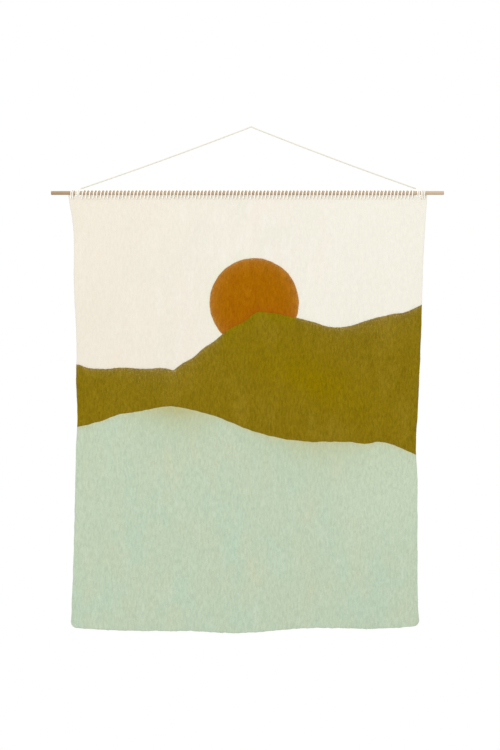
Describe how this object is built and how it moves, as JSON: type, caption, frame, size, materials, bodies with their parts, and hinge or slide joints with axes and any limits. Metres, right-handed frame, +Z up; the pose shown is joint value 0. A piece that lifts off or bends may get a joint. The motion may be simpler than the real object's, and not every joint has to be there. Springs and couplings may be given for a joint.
{
  "type": "tapestry wall hanging",
  "caption": "Felt picture hanging: a rectangular wool felt sheet whip-stitched to a round wooden rod that hangs from a V of cotton cord.",
  "frame": {"origin": "the hanging point: the underside of the cord's peak, where it lies on its nail", "axes": "+Z up, +X to the right for someone facing the picture, the picture's face towards -Y"},
  "size_m": [0.898, 0.0166, 1.16],
  "materials": {
    "raw_wood": "raw, unvarnished, fine straight grain",
    "cotton_cord": "matt, twisted strands",
    "backing_cotton": "matt, open plain weave under thin wool",
    "cream_wool": "matt felt, finely puckered",
    "rust_wool": "matt felt, finely puckered",
    "olive_wool": "matt felt, finely puckered",
    "mint_wool": "matt felt, finely puckered"
  },
  "bodies": {
    "hanger": {"hanging_cord": "cotton_cord", "left_cord_knot": "cotton_cord", "right_cord_knot": "cotton_cord"},
    "rod_body": {"rod": "raw_wood"},
    "cloth_upper": {"lashing_cord": "cotton_cord", "backing_cloth_upper": "backing_cotton", "sky_felt": "cream_wool", "sun_felt": "rust_wool", "hills_felt": "olive_wool", "foreground_felt_upper": "mint_wool"},
    "cloth_lower": {"backing_cloth_lower": "backing_cotton", "foreground_felt_lower": "mint_wool"}
  },
  "joints": [
    {"name": "rod_turn", "type": "hinge", "parent": "hanger", "child": "rod_body", "pos_m": [0, 0, -0.15], "axis": [1, 0, 0], "continuous": true},
    {"name": "cloth_swing", "type": "hinge", "parent": "hanger", "child": "cloth_upper", "pos_m": [0, 0, -0.15], "axis": [1, 0, 0], "range_deg": [-135, 135]},
    {"name": "cloth_fold", "type": "hinge", "parent": "cloth_upper", "child": "cloth_lower", "pos_m": [0, 0, -0.84], "axis": [1, 0, 0], "range_deg": [-88, 88]}
  ]
}
